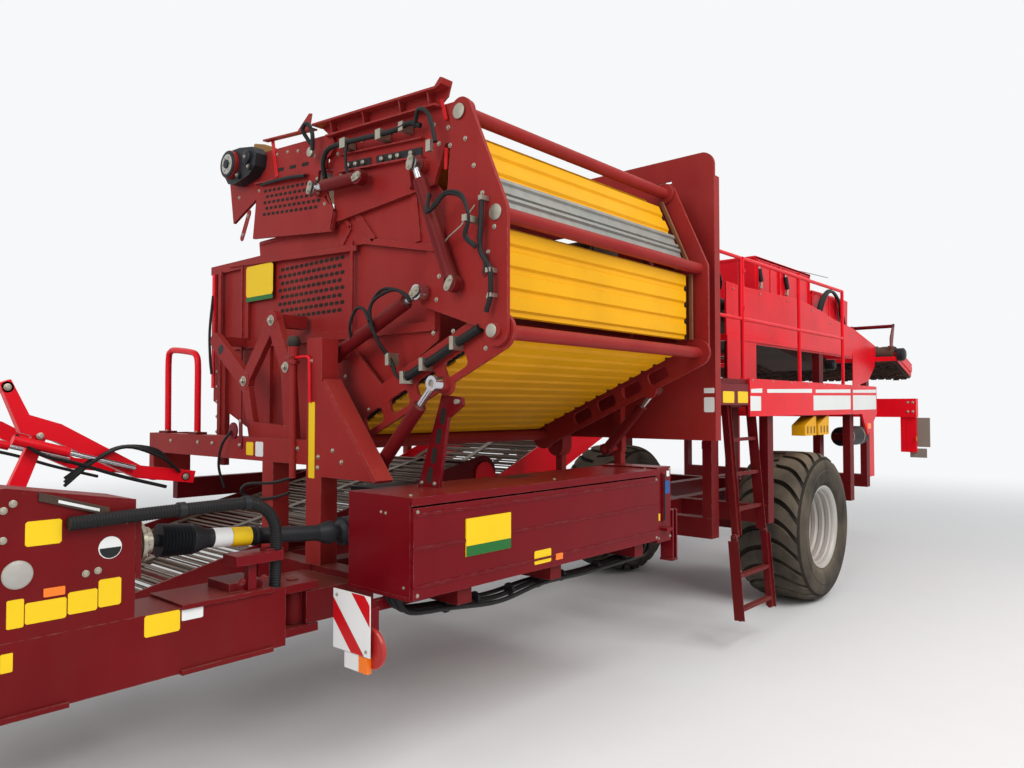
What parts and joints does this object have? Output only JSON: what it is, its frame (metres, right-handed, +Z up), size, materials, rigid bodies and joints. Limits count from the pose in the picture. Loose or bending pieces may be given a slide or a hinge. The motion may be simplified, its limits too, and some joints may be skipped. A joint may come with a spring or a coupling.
{
  "type": "trailed potato harvester",
  "caption": "Trailed side-elevator potato harvester with a folded bunker boom, sieving webs, picking platform, steered axle, swinging drawbar and parking jack.",
  "frame": {"origin": "on the ground below the middle of the machine's length and width", "axes": "+X forwards in the direction of travel, +Y to the left, +Z up"},
  "size_m": [12.9898, 3.395, 3.78],
  "materials": {
    "dark_red": "satin paint, dusty",
    "bright_red": "gloss paint",
    "yellow": "satin paint on corrugated slats",
    "white": "reflective sheet on a metal board",
    "steel": "worn steel rods",
    "silver": "silver paint",
    "chrome": "polished piston rod",
    "tyre": "dusty tyre rubber",
    "rubber": "black rubber belting",
    "plastic": "black plastic guard"
  },
  "bodies": {
    "chassis": {"main_frame": "dark_red", "deck_posts": "dark_red", "axle_beam": "dark_red", "front_frame": "dark_red", "bunker_front_wall": "dark_red", "bunker_rear_wall": "dark_red", "bunker_floor": "dark_red", "tall_plate": "dark_red", "side_box": "dark_red", "tank_block": "dark_red", "gearbox": "plastic", "marker_board": "white", "web_rear": "steel", "web_cheeks": "bright_red", "hood": "bright_red", "separator": "rubber", "picking_table": "rubber", "platform": "dark_red", "skirt": "bright_red", "guard_rail": "bright_red", "ladder": "dark_red", "rear_bar": "dark_red", "rear_web": "rubber", "stowage": "yellow"},
    "box_door": {"box_door": "dark_red"},
    "gate": {"gate": "bright_red"},
    "ladder_foot": {"ladder_foot": "dark_red"},
    "boom_lower": {"boom_lower_frame": "dark_red", "boom_lower_belt": "yellow"},
    "boom_mid": {"boom_mid_frame": "dark_red", "boom_mid_belt": "yellow"},
    "boom_top": {"boom_top_frame": "dark_red", "boom_top_belt": "yellow"},
    "boom_end": {"boom_end_frame": "dark_red", "boom_end_belt": "yellow"},
    "lift_barrels": {"lift_barrels": "dark_red"},
    "lift_rods": {"lift_rods": "chrome"},
    "fold_barrels": {"fold_barrels": "dark_red"},
    "fold_rods": {"fold_rods": "chrome"},
    "top_barrels": {"top_barrels": "dark_red"},
    "top_rods": {"top_rods": "chrome"},
    "end_barrel": {"end_barrel": "dark_red"},
    "end_rod": {"end_rod": "chrome"},
    "drawbar": {"drawbar": "dark_red", "drawbar_cover": "dark_red"},
    "jack_leg": {"jack_leg": "silver"},
    "pto_shaft": {"pto_shaft": "plastic"},
    "knuckle_left": {"knuckle_left": "dark_red"},
    "knuckle_right": {"knuckle_right": "dark_red"},
    "wheel_left": {"tyre_left": "tyre", "rim_left": "silver"},
    "wheel_right": {"tyre_right": "tyre", "rim_right": "silver"},
    "intake": {"intake_frame": "dark_red", "web_front": "steel", "shares": "steel"},
    "diabolo_rollers": {"diabolo_rollers": "silver"},
    "coulter_discs": {"coulter_discs": "steel"}
  },
  "joints": [
    {"name": "drawbar_swing", "type": "hinge", "parent": "chassis", "child": "drawbar", "pos_m": [3.2, 0.75, 0.945], "axis": [0, 0, 1], "range_deg": [-15, 15]},
    {"name": "jack_lift", "type": "slide", "parent": "drawbar", "child": "jack_leg", "axis": [0, 0, 1], "range_m": [0, 0.35]},
    {"name": "pto_swing", "type": "hinge", "parent": "chassis", "child": "pto_shaft", "pos_m": [2.99, 0.82, 1.29], "axis": [0, 0, 1], "range_deg": [-12.5, 12.5]},
    {"name": "steer_left", "type": "hinge", "parent": "chassis", "child": "knuckle_left", "pos_m": [-2.47, 0.62, 0.7425], "axis": [0, 0, 1], "range_deg": [-15, 15]},
    {"name": "steer_right", "type": "hinge", "parent": "chassis", "child": "knuckle_right", "pos_m": [-2.47, -0.62, 0.7425], "axis": [0, 0, 1], "range_deg": [-15, 15]},
    {"name": "wheel_left_turn", "type": "hinge", "parent": "knuckle_left", "child": "wheel_left", "pos_m": [-2.47, 1.075, 0.7425], "axis": [0, 1, 0], "continuous": true},
    {"name": "wheel_right_turn", "type": "hinge", "parent": "knuckle_right", "child": "wheel_right", "pos_m": [-2.47, -1.075, 0.7425], "axis": [0, 1, 0], "continuous": true},
    {"name": "intake_lift", "type": "hinge", "parent": "chassis", "child": "intake", "pos_m": [0.9, -0.8, 1.4], "axis": [0, 1, 0], "range_deg": [0, 6.5]},
    {"name": "roller_turn", "type": "hinge", "parent": "intake", "child": "diabolo_rollers", "pos_m": [4.94, -0.8, 0.9], "axis": [0, 1, 0], "continuous": true},
    {"name": "disc_turn", "type": "hinge", "parent": "intake", "child": "coulter_discs", "pos_m": [4.56, -0.8, 0.7], "axis": [0, 1, 0], "continuous": true},
    {"name": "boom_lift", "type": "hinge", "parent": "chassis", "child": "boom_lower", "pos_m": [1.625, 0.3, 1.72], "axis": [1, 0, 0], "range_deg": [-14, 6]},
    {"name": "boom_fold", "type": "hinge", "parent": "boom_lower", "child": "boom_mid", "pos_m": [1.625, 1.65, 2.31], "axis": [1, 0, 0], "range_deg": [-62, 0]},
    {"name": "boom_top_fold", "type": "hinge", "parent": "boom_mid", "child": "boom_top", "pos_m": [1.625, 1.4, 3.45], "axis": [1, 0, 0], "range_deg": [-80, 0]},
    {"name": "boom_end_fold", "type": "hinge", "parent": "boom_top", "child": "boom_end", "pos_m": [1.625, 0.25, 3.53], "axis": [1, 0, 0], "range_deg": [-20, 15]},
    {"name": "lift_barrel_swing", "type": "hinge", "parent": "chassis", "child": "lift_barrels", "pos_m": [1.625, 0.84, 1.62], "axis": [1, 0, 0], "range_deg": [-23.39, 10.19]},
    {"name": "lift_rod_slide", "type": "slide", "parent": "lift_barrels", "child": "lift_rods", "axis": [0, 0.6989, 0.7152], "range_m": [-0.0994, 0.0437]},
    {"name": "fold_barrel_swing", "type": "hinge", "parent": "boom_lower", "child": "fold_barrels", "pos_m": [1.625, 0.42, 2.24], "axis": [1, 0, 0], "range_deg": [0, 5.3]},
    {"name": "fold_rod_slide", "type": "slide", "parent": "fold_barrels", "child": "fold_rods", "axis": [0, 0.9249, 0.3801], "range_m": [0, 0.5618]},
    {"name": "top_barrel_swing", "type": "hinge", "parent": "boom_mid", "child": "top_barrels", "pos_m": [1.625, 1.4, 2.56], "axis": [1, 0, 0], "range_deg": [-10.49, 0]},
    {"name": "top_rod_slide", "type": "slide", "parent": "top_barrels", "child": "top_rods", "axis": [0, -0.3972, 0.9177], "range_m": [0, 0.4403]},
    {"name": "end_barrel_swing", "type": "hinge", "parent": "boom_top", "child": "end_barrel", "pos_m": [1.625, 0.64, 3.25], "axis": [1, 0, 0], "range_deg": [-2.77, 2.15]},
    {"name": "end_rod_slide", "type": "slide", "parent": "end_barrel", "child": "end_rod", "axis": [0, -0.999, 0.0444], "range_m": [-0.0692, 0.0916]},
    {"name": "box_door_hinge", "type": "hinge", "parent": "chassis", "child": "box_door", "pos_m": [1.85, 1.408, 1.46], "axis": [1, 0, 0], "range_deg": [0, 85]},
    {"name": "gate_hinge", "type": "hinge", "parent": "chassis", "child": "gate", "pos_m": [-0.76, 1.34, 2.9], "axis": [0, 0, 1], "range_deg": [-85, 0]},
    {"name": "ladder_fold", "type": "hinge", "parent": "chassis", "child": "ladder_foot", "pos_m": [-0.68, 1.42, 0.9], "axis": [1, 0, 0], "range_deg": [0, 150]}
  ],
  "couplings": [
    {"joint": "pto_swing", "follows": "drawbar_swing", "ratio": 0.78},
    {"joint": "steer_right", "follows": "steer_left", "ratio": 1},
    {"joint": "lift_barrel_swing", "follows": "boom_lift", "ratio": 1.6491},
    {"joint": "lift_rod_slide", "follows": "boom_lift", "m_per_rad": 0.3986},
    {"joint": "fold_barrel_swing", "follows": "boom_fold", "ratio": -0.0806},
    {"joint": "fold_rod_slide", "follows": "boom_fold", "m_per_rad": -0.5173},
    {"joint": "top_barrel_swing", "follows": "boom_top_fold", "ratio": 0.1274},
    {"joint": "top_rod_slide", "follows": "boom_top_fold", "m_per_rad": -0.3139},
    {"joint": "end_barrel_swing", "follows": "boom_end_fold", "ratio": 0.1233},
    {"joint": "end_rod_slide", "follows": "boom_end_fold", "m_per_rad": -0.2566}
  ]
}
